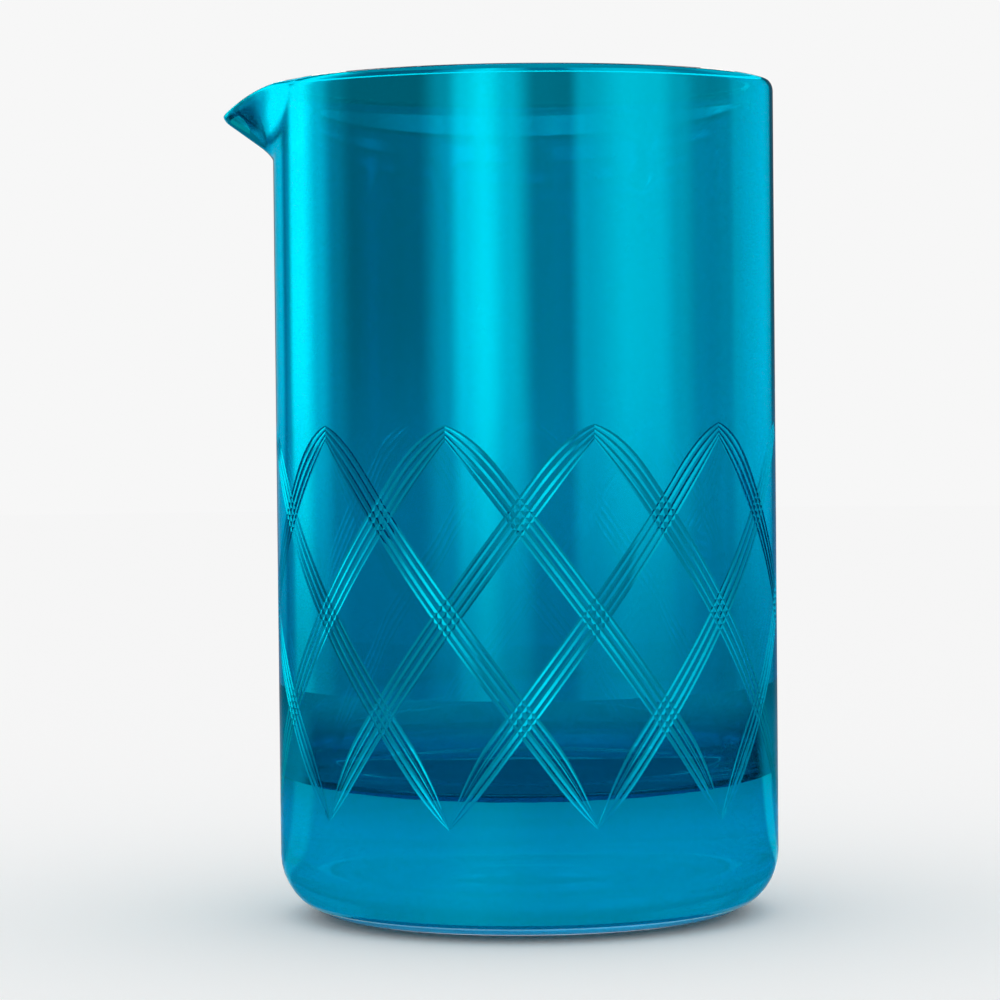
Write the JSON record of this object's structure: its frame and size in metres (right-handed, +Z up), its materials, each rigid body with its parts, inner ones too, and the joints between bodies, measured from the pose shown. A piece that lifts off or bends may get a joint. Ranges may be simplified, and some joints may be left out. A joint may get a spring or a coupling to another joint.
{
  "type": "mixing glass",
  "caption": "Straight cylindrical bar mixing glass with a heavy solid base, a pulled pouring spout and a translucent blue colour coat.",
  "frame": {"origin": "centre of the round foot, on the surface the glass stands on", "axes": "+Z up along the vessel's axis, -X towards the pouring spout"},
  "size_m": [0.0999, 0.0906, 0.15],
  "materials": {
    "clear_glass": "clear, fire-polished",
    "blue_coat": "translucent blue colour coat, glossy"
  },
  "bodies": {
    "root": {"glass_body": "clear_glass", "colour_coat": "blue_coat"}
  },
  "joints": []
}
